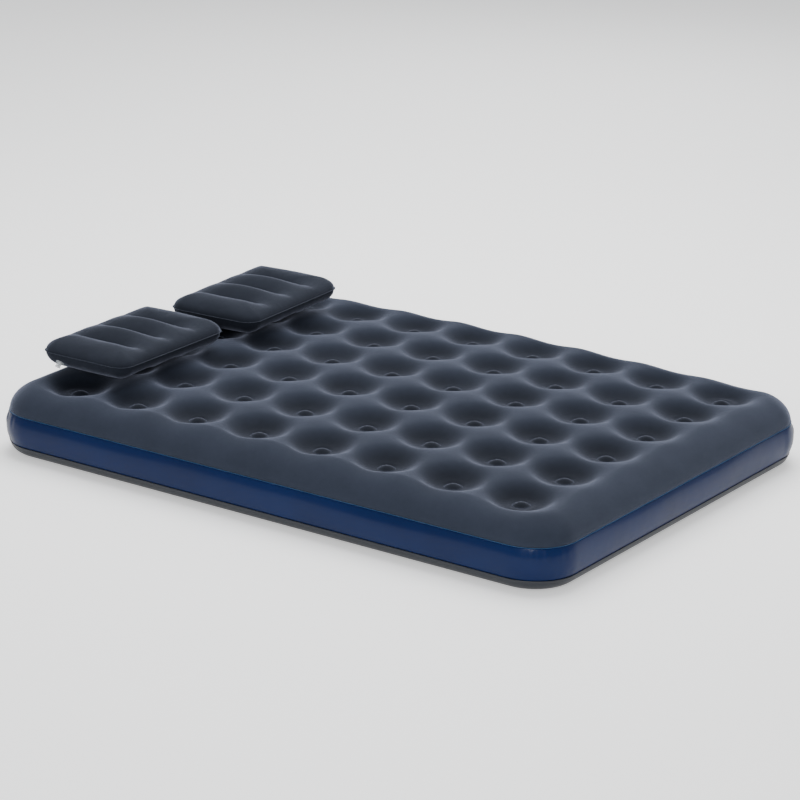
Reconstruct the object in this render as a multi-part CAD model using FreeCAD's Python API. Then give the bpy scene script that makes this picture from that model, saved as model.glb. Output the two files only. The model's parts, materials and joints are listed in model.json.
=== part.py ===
import FreeCAD, Part
import math
import os

from FreeCAD import Placement, Rotation, Vector

# Queen-size flocked air bed with coil-beam support, and its two flocked pillows.
# Frame: origin on the ground under the middle of the bed, +X to the foot end, +Z up. Millimetres.

# ---- air bed: overall sizes
BED_LENGTH = 2030.0
BED_WIDTH = 1520.0
CROWN_HEIGHT = 248.0        # top of the crests in the middle of the bed
SHOULDER_HEIGHT = 226.0     # top of the crests where the shoulder ends
CROWN_SHARE = 0.41          # the crown rises over this share of the width between the shoulders
CORNER_RADIUS = 150.0       # in plan, at the band's widest line
BAND_BULGE = 12.0           # band's widest line past the two weld seams
LOWER_SEAM_HEIGHT = 38.0
UPPER_SEAM_HEIGHT = 134.0
BOTTOM_ROLL = 50.0          # how far in the bottom sheet rolls before it meets the ground
FILM = 2.0                  # wall of every inflated sheet: the film with room for its curve

# ---- coil beams: upright tubes that tie the top sheet to the bottom sheet
COILS_LONG = 8
COILS_WIDE = 6
COIL_PITCH = 228.0
COIL_RADIUS = 30.0
COIL_WALL = 2.0
WELD_LAND = 2.0             # flat ring of the weld outside the tube
TOP_WELD_HEIGHT = 182.0
BOTTOM_WELD_HEIGHT = 22.0
TOP_PIT_FLARE = 1.15        # growth of the pit's radius for each millimetre of height
BOTTOM_PIT_FLARE = 1.30

# ---- main valve, on the head end's band
VALVE_Y = 480.0
POCKET_DEPTH = 24.0         # flat seat behind the band's widest line
POCKET_MARGIN = 3.0         # flat seat outside the base's flange
POCKET_FLARE = 0.3
BASE_FLANGE_WIDTH = 12.7    # outside the neck
BASE_FLANGE_THICK = 2.5
NECK_BORE = 21.0            # radius that the core screws into
NECK_WALL = 3.3
NECK_HEIGHT = 9.0           # above the seat
BASE_TAIL = 14.0            # tube that hangs into the bed behind the seat
CORE_OVERHANG = 3.7         # of the core's flange over the neck
CORE_FLANGE_THICK = 4.0
CORE_PLUG_WALL = 2.5
CORE_PLUG_DEPTH = 18.0
CORE_FLOOR = 1.0            # part of the core's plate that reaches down inside the plug
PORT_BORE = 9.0             # a pump's nozzle goes in here
PORT_NECK_WALL = 3.0
PORT_NECK_HEIGHT = 4.0
SEAL_THICK = 1.2
SEAL_GAP = 0.1              # left between a seal and the face it closes on
THREAD_GAP = 0.3
FLAP_OVERLAP = 2.5          # of the flap outside the port's bore
FLAP_THICK = 1.0
FLAP_GAP = 0.2
FLAP_HINGE_OUT = 2.5        # hinge line outside the flap's rim
FLAP_BARREL_RADIUS = 0.8
FLAP_BARREL_LENGTH = 8.0
GRIP_RIB_RADIUS = 0.9
CORE_RIBS = 36
LID_OVERHANG = 1.0
LID_THICK = 2.4
LID_HINGE_OUT = 2.5         # hinge line outside the lid's rim
LID_PIN_RADIUS = 1.0
LID_PIN_GAP = 0.08
LID_BARREL_WALL = 1.0
LID_BARREL_LENGTH = 8.0
LID_LUG_THICK = 2.0
LID_LUG_GAP = 0.3
LID_TAB_LENGTH = 4.5
LID_TAB_WIDTH = 7.0
LID_TAB_THICK = 1.4

# ---- tether: two rings and a bow, one moulding
TETHER_THICK = 1.4
TETHER_WIDTH = 2.4
TETHER_BOW_WIDTH = 6.0
TETHER_GAP = 0.3
TETHER_BITE = 2.2           # depth of the groove that the upper ring snaps into

# ---- pillows
PILLOW_LENGTH = 522.0       # across the bed, seam flange left out
PILLOW_WIDTH = 328.0
PILLOW_THICK = 108.0
PILLOW_CORNER = 72.0
PILLOW_FLANGE = 6.0
PILLOW_FLANGE_THICK = 1.5
PILLOW_CHANNELS = 4
GROOVE_DEPTH = 16.0
GROOVE_FLOOR = 6.0
GROOVE_END = 40.0           # the weld line stops this far from the seam
WEB_THICK = 2.0
PILLOW_CLEAR = 0.5
PILLOW_PLACES = (           # centre x, centre y, turn about Z in degrees
    (-797.0, -312.0, 1.0),
    (-790.0, 299.0, 3.5),
)

# ---- pillow valve: soft stem with a push-in plug
PILLOW_VALVE_FROM_END = 70.0    # from the pillow's head side
PILLOW_VALVE_FROM_SEAM = 14.0   # in from the seam, under the pillow's near short side
PILLOW_VALVE_TILT = 45.0        # axis below level
PILLOW_SEAT_DEPTH = 2.5
STEM_FLANGE_WIDTH = 7.0     # outside the stem
STEM_FLANGE_THICK = 1.2
STEM_SEAT_MARGIN = 1.5
STEM_BORE = 4.2             # radius
STEM_WALL = 2.3
STEM_HEIGHT = 14.0
STEM_TAIL = 6.0
PLUG_GAP = 0.2
PLUG_DEPTH = 9.0
PLUG_OVERHANG = 1.5         # of the plug's head over the stem
PLUG_HEAD_THICK = 2.5
PLUG_RING_GAP = 0.3

NECK_RADIUS = NECK_BORE + NECK_WALL
BASE_FLANGE_RADIUS = NECK_RADIUS + BASE_FLANGE_WIDTH
CORE_FLANGE_RADIUS = NECK_RADIUS + CORE_OVERHANG
PORT_NECK_RADIUS = PORT_BORE + PORT_NECK_WALL
FLAP_RADIUS = PORT_BORE + FLAP_OVERLAP
FLAP_HINGE_RADIUS = FLAP_RADIUS + FLAP_HINGE_OUT
STEM_RADIUS = STEM_BORE + STEM_WALL
STEM_FLANGE_RADIUS = STEM_RADIUS + STEM_FLANGE_WIDTH
PLUG_HEAD_RADIUS = STEM_RADIUS + PLUG_OVERHANG

ORIGIN = Vector(0, 0, 0)
X_AXIS = Vector(1, 0, 0)
Y_AXIS = Vector(0, 1, 0)
Z_AXIS = Vector(0, 0, 1)


# ---------------------------------------------------------------- outlines and slabs
def line(a, b):
    return Part.LineSegment(Vector(a[0], 0, a[1]), Vector(b[0], 0, b[1])).toShape()


def quarter_ellipse(centre, reach, rise):
    """From (centre + reach) round to (centre + rise), in the XZ plane; rise may be downwards."""
    middle = Vector(centre[0], 0, centre[1])
    side = middle + Vector(reach, 0, 0)
    tip = middle + Vector(0, 0, rise)
    if reach >= abs(rise):
        curve = Part.Ellipse(side, tip, middle)
    else:
        curve = Part.Ellipse(tip, side, middle)
    return curve.toShape(0.0, math.pi / 2)


def outline(edges):
    return Part.Face(Part.Wire(Part.__sortEdges__(edges)))


def rounded_slab(length, width, corner, edge_face, low, high):
    """Slab whose whole rim has the section edge_face, drawn from the corner's centre outwards."""
    half_x = length / 2 - corner
    half_y = width / 2 - corner
    pieces = []
    quarter = edge_face.revolve(ORIGIN, Z_AXIS, 90)
    for turn, x, y in ((0, half_x, half_y), (90, -half_x, half_y),
                       (180, -half_x, -half_y), (270, half_x, -half_y)):
        piece = quarter.copy()
        piece.rotate(ORIGIN, Z_AXIS, turn)
        piece.translate(Vector(x, y, 0))
        pieces.append(piece)
    for turn, run, out in ((0, half_y, half_x), (90, half_x, half_y),
                           (180, half_y, half_x), (270, half_x, half_y)):
        piece = edge_face.extrude(Vector(0, 2 * run, 0))
        piece.translate(Vector(out, -run, 0))
        piece.rotate(ORIGIN, Z_AXIS, turn)
        pieces.append(piece)
    centre = Part.makeBox(2 * half_x, 2 * half_y, high - low, Vector(-half_x, -half_y, low))
    return centre.fuse(pieces).removeSplitter()


def frustum(x, y, z, radius, height, flare, direction=1):
    """Cone frustum that opens upwards (direction 1) or downwards (direction -1) from height z."""
    return Part.makeCone(radius, radius + flare * height, height,
                         Vector(x, y, z), Vector(0, 0, direction))


def placed(shape, placement):
    moved = shape.copy()
    moved.Placement = placement.multiply(moved.Placement)
    return moved


# ---------------------------------------------------------------- air bed
def coil_centres():
    """Rows from the head end to the foot end, each a list of (x, y)."""
    rows = []
    for i in range(COILS_LONG):
        x = (i - (COILS_LONG - 1) / 2) * COIL_PITCH
        rows.append([(x, (j - (COILS_WIDE - 1) / 2) * COIL_PITCH) for j in range(COILS_WIDE)])
    return rows


def crown(skin):
    """Low hipped rise on top of the shoulders; skin is taken off all over for the inside."""
    long_side = BED_LENGTH - 2 * CORNER_RADIUS
    wide_side = BED_WIDTH - 2 * CORNER_RADIUS
    run = wide_side * CROWN_SHARE
    rise = CROWN_HEIGHT - SHOULDER_HEIGHT
    wedge = Part.makeWedge(-long_side / 2, 0, -wide_side / 2,
                           -wide_side / 2 + run, -long_side / 2 + run,
                           long_side / 2, rise, wide_side / 2,
                           wide_side / 2 - run, long_side / 2 - run)
    wedge.rotate(ORIGIN, X_AXIS, 90)
    wedge.translate(Vector(0, 0, SHOULDER_HEIGHT - skin))
    return wedge


def pits(height, end, flare, skin):
    """Frustums of the pits that the coil beams pull into a sheet, from the weld's height to end.

    For the inside they are a film's thickness larger all over.
    """
    direction = 1 if end > height else -1
    tip = COIL_RADIUS + WELD_LAND + skin * (math.sqrt(1 + flare * flare) - flare)
    floor = height - direction * skin
    return [frustum(x, y, floor, tip, abs(end - floor), flare, direction)
            for row in coil_centres() for x, y in row]


def top_body(skin):
    seam = CORNER_RADIUS - BAND_BULGE
    rise = SHOULDER_HEIGHT - UPPER_SEAM_HEIGHT
    section = outline([
        quarter_ellipse((0, UPPER_SEAM_HEIGHT), seam - skin, rise - skin),
        line((0, SHOULDER_HEIGHT - skin), (0, UPPER_SEAM_HEIGHT)),
        line((0, UPPER_SEAM_HEIGHT), (seam - skin, UPPER_SEAM_HEIGHT)),
    ])
    slab = rounded_slab(BED_LENGTH, BED_WIDTH, CORNER_RADIUS, section,
                        UPPER_SEAM_HEIGHT, SHOULDER_HEIGHT - skin)
    return slab.fuse(crown(skin))


def top_sheet():
    def pit_forms(end, skin):
        return pits(TOP_WELD_HEIGHT, end, TOP_PIT_FLARE, skin)

    above = CROWN_HEIGHT + FILM
    outer = top_body(0)
    if TOP_WELD_HEIGHT - FILM < UPPER_SEAM_HEIGHT:      # pits that reach down past the seam
        outer = outer.fuse(pit_forms(UPPER_SEAM_HEIGHT, FILM))
    inside = top_body(FILM).cut(Part.makeCompound(pit_forms(above, FILM)))
    return outer.cut(Part.makeCompound(pit_forms(above, 0))).cut(inside)


def bottom_body(skin):
    seam = CORNER_RADIUS - BAND_BULGE
    flat = seam - BOTTOM_ROLL
    section = outline([
        quarter_ellipse((flat, LOWER_SEAM_HEIGHT), BOTTOM_ROLL - skin, skin - LOWER_SEAM_HEIGHT),
        line((flat, skin), (0, skin)),
        line((0, skin), (0, LOWER_SEAM_HEIGHT)),
        line((0, LOWER_SEAM_HEIGHT), (seam - skin, LOWER_SEAM_HEIGHT)),
    ])
    slab = rounded_slab(BED_LENGTH, BED_WIDTH, CORNER_RADIUS, section, skin, LOWER_SEAM_HEIGHT)
    return slab.cut(Part.makeCompound(pits(BOTTOM_WELD_HEIGHT, -FILM, BOTTOM_PIT_FLARE, skin)))


def bottom_sheet():
    return bottom_body(0).cut(bottom_body(FILM))


def valve_placement():
    """Valve frame: its +Z points out of the head end, its +X points up."""
    seat = Vector(-(BED_LENGTH / 2 - POCKET_DEPTH), VALVE_Y,
                  (LOWER_SEAM_HEIGHT + UPPER_SEAM_HEIGHT) / 2)
    return Placement(seat, Rotation(Y_AXIS, -90))


def pocket(skin):
    """Cutter of the flared pocket that the valve sits in."""
    slant = math.sqrt(1 + POCKET_FLARE * POCKET_FLARE)
    floor = BASE_FLANGE_RADIUS + POCKET_MARGIN
    cone = frustum(0, 0, -skin, floor + skin * (slant - POCKET_FLARE),
                   POCKET_DEPTH + skin + 1, POCKET_FLARE)
    return placed(cone, valve_placement())


def band_body(skin):
    seam = CORNER_RADIUS - BAND_BULGE - skin
    middle = (LOWER_SEAM_HEIGHT + UPPER_SEAM_HEIGHT) / 2
    bow = Part.Arc(Vector(seam, 0, LOWER_SEAM_HEIGHT), Vector(CORNER_RADIUS - skin, 0, middle),
                   Vector(seam, 0, UPPER_SEAM_HEIGHT)).toShape()
    section = outline([
        bow,
        line((seam, UPPER_SEAM_HEIGHT), (0, UPPER_SEAM_HEIGHT)),
        line((0, UPPER_SEAM_HEIGHT), (0, LOWER_SEAM_HEIGHT)),
        line((0, LOWER_SEAM_HEIGHT), (seam, LOWER_SEAM_HEIGHT)),
    ])
    slab = rounded_slab(BED_LENGTH, BED_WIDTH, CORNER_RADIUS, section,
                        LOWER_SEAM_HEIGHT, UPPER_SEAM_HEIGHT)
    return slab.cut(pocket(skin))


def side_band():
    hole = Part.makeCylinder(NECK_RADIUS + THREAD_GAP, 2 * FILM, Vector(0, 0, -1.5 * FILM))
    return band_body(0).cut(band_body(FILM)).cut(placed(hole, valve_placement()))


def coil_row(centres):
    low = BOTTOM_WELD_HEIGHT + FILM
    height = TOP_WELD_HEIGHT - FILM - low
    tubes = []
    for x, y in centres:
        outer = Part.makeCylinder(COIL_RADIUS, height, Vector(x, y, low))
        inner = Part.makeCylinder(COIL_RADIUS - COIL_WALL, height, Vector(x, y, low))
        tubes.append(outer.cut(inner))
    return Part.makeCompound(tubes)


# ---------------------------------------------------------------- main valve, in its own frame
CORE_SEAT = NECK_HEIGHT + SEAL_THICK + SEAL_GAP         # underside of the core's flange
CORE_TOP = CORE_SEAT + CORE_FLANGE_THICK
PORT_TOP = CORE_TOP + PORT_NECK_HEIGHT
CORE_PLUG_RADIUS = NECK_BORE - THREAD_GAP
LID_UNDERSIDE = PORT_TOP + SEAL_GAP
LID_RADIUS = PORT_NECK_RADIUS + LID_OVERHANG
LID_HINGE_X = LID_RADIUS + LID_HINGE_OUT
LID_HINGE_Z = LID_UNDERSIDE + LID_THICK / 2
LID_BARREL_RADIUS = LID_PIN_RADIUS + LID_PIN_GAP + LID_BARREL_WALL
CORE_RING_Z = CORE_SEAT + (CORE_FLANGE_THICK - TETHER_THICK) / 2


def ring(outer, inner, low, high):
    body = Part.makeCylinder(outer, high - low, Vector(0, 0, low))
    return body.cut(Part.makeCylinder(inner, high - low, Vector(0, 0, low)))


def grip_ribs():
    """Ribs round the core's flange."""
    ribs = []
    for i in range(CORE_RIBS):
        angle = 2 * math.pi * (i + 0.5) / CORE_RIBS
        spot = Vector(CORE_FLANGE_RADIUS * math.cos(angle), CORE_FLANGE_RADIUS * math.sin(angle), CORE_SEAT)
        ribs.append(Part.makeCylinder(GRIP_RIB_RADIUS, CORE_FLANGE_THICK, spot))
    return ribs


def tether(low_radius, low_z, high_radius, high_z, bow_radius):
    """Ring round the neck, ring in the core's groove, and the bow that joins them."""
    parts = [
        ring(low_radius + TETHER_WIDTH, low_radius, low_z, low_z + TETHER_THICK),
        ring(high_radius + TETHER_WIDTH, high_radius, high_z, high_z + TETHER_THICK),
    ]
    for radius, z in ((low_radius, low_z), (high_radius, high_z)):
        start = radius + TETHER_WIDTH / 2
        parts.append(Part.makeBox(bow_radius - start, TETHER_BOW_WIDTH, TETHER_THICK,
                                  Vector(-bow_radius, -TETHER_BOW_WIDTH / 2, z)))
    parts.append(Part.makeBox(TETHER_THICK, TETHER_BOW_WIDTH, high_z + TETHER_THICK - low_z,
                              Vector(-bow_radius, -TETHER_BOW_WIDTH / 2, low_z)))
    return parts[0].fuse(parts[1:]).removeSplitter()


def valve_base():
    body = ring(BASE_FLANGE_RADIUS, NECK_BORE, 0, BASE_FLANGE_THICK)
    neck = ring(NECK_RADIUS, NECK_BORE, -BASE_TAIL, NECK_HEIGHT)
    return body.fuse(neck).removeSplitter()


def core_seal():
    return ring(NECK_RADIUS, NECK_BORE + THREAD_GAP, NECK_HEIGHT + SEAL_GAP, CORE_SEAT)


def tether_groove():
    """Cutter of the groove that the tether's upper ring lies in."""
    return ring(CORE_FLANGE_RADIUS + 2 * GRIP_RIB_RADIUS, CORE_FLANGE_RADIUS - TETHER_BITE,
                CORE_RING_Z - TETHER_GAP, CORE_RING_Z + TETHER_THICK + TETHER_GAP)


def flap_lugs():
    """Two lugs under the core's plate that hold the flap's barrel."""
    height = 2 * FLAP_BARREL_RADIUS + FLAP_GAP
    lugs = []
    for side in (-1, 1):
        start = side * (FLAP_BARREL_LENGTH / 2 + FLAP_GAP)
        lugs.append(Part.makeBox(2 * FLAP_BARREL_RADIUS, 2.0, height + CORE_FLOOR,
                                 Vector(FLAP_HINGE_RADIUS - FLAP_BARREL_RADIUS,
                                        min(start, start + 2.0 * side),
                                        CORE_SEAT - CORE_FLOOR - height)))
    return lugs


def lid_lugs():
    """Two lugs on the core's flange with the lid's hinge pin between them."""
    reach = LID_BARREL_LENGTH / 2 + LID_LUG_GAP
    low = CORE_TOP - SEAL_GAP
    high = LID_HINGE_Z + LID_BARREL_RADIUS
    lugs = [Part.makeBox(2 * LID_BARREL_RADIUS, LID_LUG_THICK, high - low,
                         Vector(LID_HINGE_X - LID_BARREL_RADIUS, y, low))
            for y in (reach, -reach - LID_LUG_THICK)]
    pin = Part.makeCylinder(LID_PIN_RADIUS, 2 * reach + LID_LUG_THICK,
                            Vector(LID_HINGE_X, -reach - LID_LUG_THICK / 2, LID_HINGE_Z), Y_AXIS)
    return lugs + [pin]


def valve_core():
    flange = Part.makeCylinder(CORE_FLANGE_RADIUS, CORE_FLANGE_THICK, Vector(0, 0, CORE_SEAT))
    flange = flange.fuse(grip_ribs()).cut(tether_groove())
    plate = Part.makeCylinder(CORE_PLUG_RADIUS, CORE_FLOOR, Vector(0, 0, CORE_SEAT - CORE_FLOOR))
    plug = ring(CORE_PLUG_RADIUS, CORE_PLUG_RADIUS - CORE_PLUG_WALL,
                CORE_SEAT - CORE_PLUG_DEPTH, CORE_SEAT)
    neck = Part.makeCylinder(PORT_NECK_RADIUS, PORT_NECK_HEIGHT, Vector(0, 0, CORE_TOP))
    body = flange.fuse([plate, plug, neck] + flap_lugs() + lid_lugs())
    port = Part.makeCylinder(PORT_BORE, PORT_TOP, Vector(0, 0, CORE_SEAT - 2 * CORE_FLOOR))
    return body.cut(port).removeSplitter()


def valve_flap():
    top = CORE_SEAT - CORE_FLOOR - FLAP_GAP
    disc = Part.makeCylinder(FLAP_RADIUS, FLAP_THICK, Vector(0, 0, top - FLAP_THICK))
    tab = Part.makeBox(FLAP_HINGE_RADIUS, FLAP_BARREL_LENGTH - 2, FLAP_THICK,
                       Vector(0, 1 - FLAP_BARREL_LENGTH / 2, top - FLAP_THICK))
    barrel = Part.makeCylinder(FLAP_BARREL_RADIUS, FLAP_BARREL_LENGTH,
                               Vector(FLAP_HINGE_RADIUS, -FLAP_BARREL_LENGTH / 2,
                                      top - FLAP_BARREL_RADIUS), Y_AXIS)
    return disc.fuse([tab, barrel]).removeSplitter()


def valve_lid():
    """Flip lid over the pump port: disc, hinge barrel and thumb tab."""
    disc = Part.makeCylinder(LID_RADIUS, LID_THICK, Vector(0, 0, LID_UNDERSIDE))
    arm = Part.makeBox(LID_HINGE_X - PORT_BORE, LID_BARREL_LENGTH, LID_THICK,
                       Vector(PORT_BORE, -LID_BARREL_LENGTH / 2, LID_UNDERSIDE))
    start = Vector(LID_HINGE_X, -LID_BARREL_LENGTH / 2, LID_HINGE_Z)
    barrel = Part.makeCylinder(LID_BARREL_RADIUS, LID_BARREL_LENGTH, start, Y_AXIS)
    tab = Part.makeBox(LID_TAB_LENGTH + LID_OVERHANG, LID_TAB_WIDTH, LID_TAB_THICK,
                       Vector(-LID_RADIUS - LID_TAB_LENGTH, -LID_TAB_WIDTH / 2,
                              LID_UNDERSIDE + LID_THICK - LID_TAB_THICK))
    bore = Part.makeCylinder(LID_PIN_RADIUS + LID_PIN_GAP, LID_BARREL_LENGTH, start, Y_AXIS)
    recess = Part.makeCylinder(PORT_NECK_RADIUS, SEAL_THICK, Vector(0, 0, LID_UNDERSIDE))
    return disc.fuse([arm, barrel, tab]).cut([bore, recess]).removeSplitter()


def lid_seal():
    return Part.makeCylinder(PORT_NECK_RADIUS - SEAL_GAP, SEAL_THICK, Vector(0, 0, LID_UNDERSIDE))


def core_tether():
    return tether(NECK_RADIUS + TETHER_GAP, BASE_FLANGE_THICK + TETHER_GAP,
                  CORE_FLANGE_RADIUS - TETHER_BITE + TETHER_GAP, CORE_RING_Z,
                  CORE_FLANGE_RADIUS + TETHER_BOW_WIDTH)


# ---------------------------------------------------------------- pillows, centred on their seam
def web_lines():
    """Where the webs stand along the pillow's length."""
    channel = PILLOW_LENGTH / PILLOW_CHANNELS
    return [channel * (i + 1) - PILLOW_LENGTH / 2 for i in range(PILLOW_CHANNELS - 1)]


def grooves(skin):
    """Cutters of the channels' weld lines, in the pillow's top."""
    floor = PILLOW_THICK / 2 - GROOVE_DEPTH - skin
    top = PILLOW_THICK / 2 + 1
    half = GROOVE_FLOOR / 2 + skin * (math.sqrt(2) - 1)
    reach = PILLOW_WIDTH / 2 - GROOVE_END + skin
    cutters = []
    for y in web_lines():
        section = Part.makePolygon([
            Vector(-reach, y - half, floor),
            Vector(-reach, y + half, floor),
            Vector(-reach, y + half + top - floor, top),
            Vector(-reach, y - half - top + floor, top),
            Vector(-reach, y - half, floor),
        ])
        cutters.append(Part.Face(section).extrude(Vector(2 * reach, 0, 0)))
    return cutters


def pillow_half(skin):
    """Upper half of the pillow's outer form, or of its inside."""
    section = outline([
        quarter_ellipse((0, 0), PILLOW_CORNER - skin, PILLOW_THICK / 2 - skin),
        line((0, PILLOW_THICK / 2 - skin), (0, 0)),
        line((0, 0), (PILLOW_CORNER - skin, 0)),
    ])
    slab = rounded_slab(PILLOW_WIDTH, PILLOW_LENGTH, PILLOW_CORNER, section,
                        0, PILLOW_THICK / 2 - skin)
    return slab.cut(grooves(skin))


def seam_flange():
    flange = outline([
        line((0, 0), (PILLOW_CORNER + PILLOW_FLANGE, 0)),
        line((PILLOW_CORNER + PILLOW_FLANGE, 0), (PILLOW_CORNER + PILLOW_FLANGE, PILLOW_FLANGE_THICK)),
        line((PILLOW_CORNER + PILLOW_FLANGE, PILLOW_FLANGE_THICK), (0, PILLOW_FLANGE_THICK)),
        line((0, PILLOW_FLANGE_THICK), (0, 0)),
    ])
    return rounded_slab(PILLOW_WIDTH + 2 * PILLOW_FLANGE, PILLOW_LENGTH + 2 * PILLOW_FLANGE,
                        PILLOW_CORNER + PILLOW_FLANGE, flange, 0, PILLOW_FLANGE_THICK)


def pillow_top():
    return pillow_half(0).fuse(seam_flange()).cut(pillow_half(FILM))


def stem_placement():
    """Stem frame: its +Z points out of the pillow, down and towards the bed's near side."""
    inset = PILLOW_CORNER - PILLOW_VALVE_FROM_SEAM
    drop = PILLOW_THICK / 2 * math.sqrt(1 - (inset / PILLOW_CORNER) ** 2)
    tilt = math.radians(PILLOW_VALVE_TILT)
    out = Vector(0, -math.cos(tilt), -math.sin(tilt))
    surface = Vector(PILLOW_VALVE_FROM_END - PILLOW_WIDTH / 2,
                     PILLOW_VALVE_FROM_SEAM - PILLOW_LENGTH / 2, -drop)
    return Placement(surface - out * PILLOW_SEAT_DEPTH, Rotation(X_AXIS, 90 + PILLOW_VALVE_TILT))


def stem_seat(skin):
    radius = STEM_FLANGE_RADIUS + STEM_SEAT_MARGIN + skin
    cutter = Part.makeCylinder(radius, 4 * PILLOW_SEAT_DEPTH + skin, Vector(0, 0, -skin))
    return placed(cutter, stem_placement())


def pillow_bottom():
    flip = Placement(ORIGIN, Rotation(Y_AXIS, 180))
    outer = placed(pillow_half(0).fuse(seam_flange()), flip).cut(stem_seat(0))
    inner = placed(pillow_half(FILM), flip).cut(stem_seat(FILM))
    hole = Part.makeCylinder(STEM_RADIUS + PLUG_RING_GAP, 2 * FILM, Vector(0, 0, -1.5 * FILM))
    return outer.cut(inner).cut(placed(hole, stem_placement()))


def pillow_webs():
    half_height = PILLOW_THICK / 2 - GROOVE_DEPTH - FILM
    length = PILLOW_WIDTH - 2 * GROOVE_END
    return Part.makeCompound([
        Part.makeBox(length, WEB_THICK, 2 * half_height,
                     Vector(-length / 2, y - WEB_THICK / 2, -half_height))
        for y in web_lines()])


def valve_stem():
    flange = ring(STEM_FLANGE_RADIUS, STEM_BORE, 0, STEM_FLANGE_THICK)
    tube = ring(STEM_RADIUS, STEM_BORE, -STEM_TAIL, STEM_HEIGHT)
    return placed(flange.fuse(tube).removeSplitter(), stem_placement())


def valve_plug():
    head_low = STEM_HEIGHT + SEAL_GAP
    pin = Part.makeCylinder(STEM_BORE - PLUG_GAP, PLUG_DEPTH, Vector(0, 0, head_low - PLUG_DEPTH))
    head = Part.makeCylinder(PLUG_HEAD_RADIUS, PLUG_HEAD_THICK, Vector(0, 0, head_low))
    collar_z = STEM_FLANGE_THICK + PLUG_RING_GAP
    collar = ring(STEM_RADIUS + PLUG_RING_GAP + TETHER_WIDTH, STEM_RADIUS + PLUG_RING_GAP,
                  collar_z, collar_z + TETHER_THICK)
    bow = PLUG_HEAD_RADIUS + TETHER_BOW_WIDTH / 2
    arms = [Part.makeBox(bow - STEM_RADIUS - 1, TETHER_BOW_WIDTH / 2, TETHER_THICK,
                         Vector(-bow, -TETHER_BOW_WIDTH / 4, z)) for z in (collar_z, head_low)]
    post = Part.makeBox(TETHER_THICK, TETHER_BOW_WIDTH / 2, head_low + TETHER_THICK - collar_z,
                        Vector(-bow, -TETHER_BOW_WIDTH / 4, collar_z))
    return placed(pin.fuse([head, collar, post] + arms).removeSplitter(), stem_placement())


def pillow_placement(place):
    """The pillow stands just clear of the highest bed crest under it."""
    x, y, turn = place
    inner_edge = x + PILLOW_WIDTH / 2 + PILLOW_FLANGE
    slope = (CROWN_HEIGHT - SHOULDER_HEIGHT) / ((BED_WIDTH - 2 * CORNER_RADIUS) * CROWN_SHARE)
    under = SHOULDER_HEIGHT + slope * max(0.0, inner_edge + BED_LENGTH / 2 - CORNER_RADIUS)
    return Placement(Vector(x, y, under + PILLOW_CLEAR + PILLOW_THICK / 2), Rotation(Z_AXIS, turn))


# ---------------------------------------------------------------- all nodes
def build():
    nodes = {
        "top_sheet": top_sheet(),
        "side_band": side_band(),
        "bottom_sheet": bottom_sheet(),
    }
    for number, centres in enumerate(coil_centres(), start=1):
        nodes[f"coil_beams_row_{number}"] = coil_row(centres)
    for name, maker in (("valve_base", valve_base), ("core_seal", core_seal),
                        ("valve_core", valve_core), ("core_tether", core_tether),
                        ("valve_flap", valve_flap), ("valve_lid", valve_lid),
                        ("lid_seal", lid_seal)):
        nodes[name] = placed(maker(), valve_placement())
    for number, place in enumerate(PILLOW_PLACES, start=1):
        for name, maker in (("top", pillow_top), ("bottom", pillow_bottom), ("webs", pillow_webs),
                            ("valve_stem", valve_stem), ("valve_plug", valve_plug)):
            nodes[f"pillow_{number}_{name}"] = placed(maker(), pillow_placement(place))
    return nodes


def main():
    os.makedirs("parts", exist_ok=True)
    for name, shape in build().items():
        solids = shape.Solids
        whole = solids[0] if len(solids) == 1 else Part.makeCompound(solids)
        whole.exportStep(f"parts/{name}.step")
        box = whole.BoundBox
        reach = [f"{low:.1f}..{high:.1f}" for low, high in
                 ((box.XMin, box.XMax), (box.YMin, box.YMax), (box.ZMin, box.ZMax))]
        print(name, len(solids), "solids, valid", whole.isValid(), f"{whole.Volume / 1000:.1f} cm3", *reach)


main()
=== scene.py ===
"""Looks of the flocked air bed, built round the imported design.

Inflated sheets, vinyl band, coil welds, seams and two loose pillows. The valve and the pillows'
stems are the design's own pieces, in finishes from here.
"""
import json
import math

import bpy
import numpy as np
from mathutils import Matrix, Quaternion, Vector


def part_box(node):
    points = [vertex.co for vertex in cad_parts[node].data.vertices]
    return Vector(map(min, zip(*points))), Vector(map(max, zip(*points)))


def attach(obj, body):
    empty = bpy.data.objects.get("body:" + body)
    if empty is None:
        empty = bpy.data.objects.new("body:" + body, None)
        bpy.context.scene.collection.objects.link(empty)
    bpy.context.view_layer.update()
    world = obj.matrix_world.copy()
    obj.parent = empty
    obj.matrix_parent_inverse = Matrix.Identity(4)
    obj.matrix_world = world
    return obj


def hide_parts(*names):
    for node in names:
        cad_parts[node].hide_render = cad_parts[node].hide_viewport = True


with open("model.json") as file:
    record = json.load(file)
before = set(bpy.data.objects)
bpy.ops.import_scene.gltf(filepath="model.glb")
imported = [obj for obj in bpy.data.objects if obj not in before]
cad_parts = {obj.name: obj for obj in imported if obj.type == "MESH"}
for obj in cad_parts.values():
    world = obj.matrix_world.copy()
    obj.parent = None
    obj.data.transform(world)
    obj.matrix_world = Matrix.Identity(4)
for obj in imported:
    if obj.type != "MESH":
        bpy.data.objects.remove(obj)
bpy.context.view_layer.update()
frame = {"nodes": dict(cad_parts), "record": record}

# ---- sizes in metres; what the design fixes is read from the frame
# coil welds and the pits that they hold down
WELD_RADIUS = 0.0285          # outer edge of a coil's ring weld
DOME_RADIUS = 0.025           # the sheet domes up inside the ring
DOME_RISE = 0.010
WELD_GROOVE = 0.0012          # the ring lies this much under the dome's foot
RING_BEAD = 0.0008            # radius of the bead pressed round the dome
RING_LIFT = 0.2               # of the groove's depth, from the dome's foot up to the bead
PIT_DEPTH = 0.0416            # of a weld under the crests' envelope
PIT_REACH = 0.161             # a pit ends this far from its weld
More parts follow.
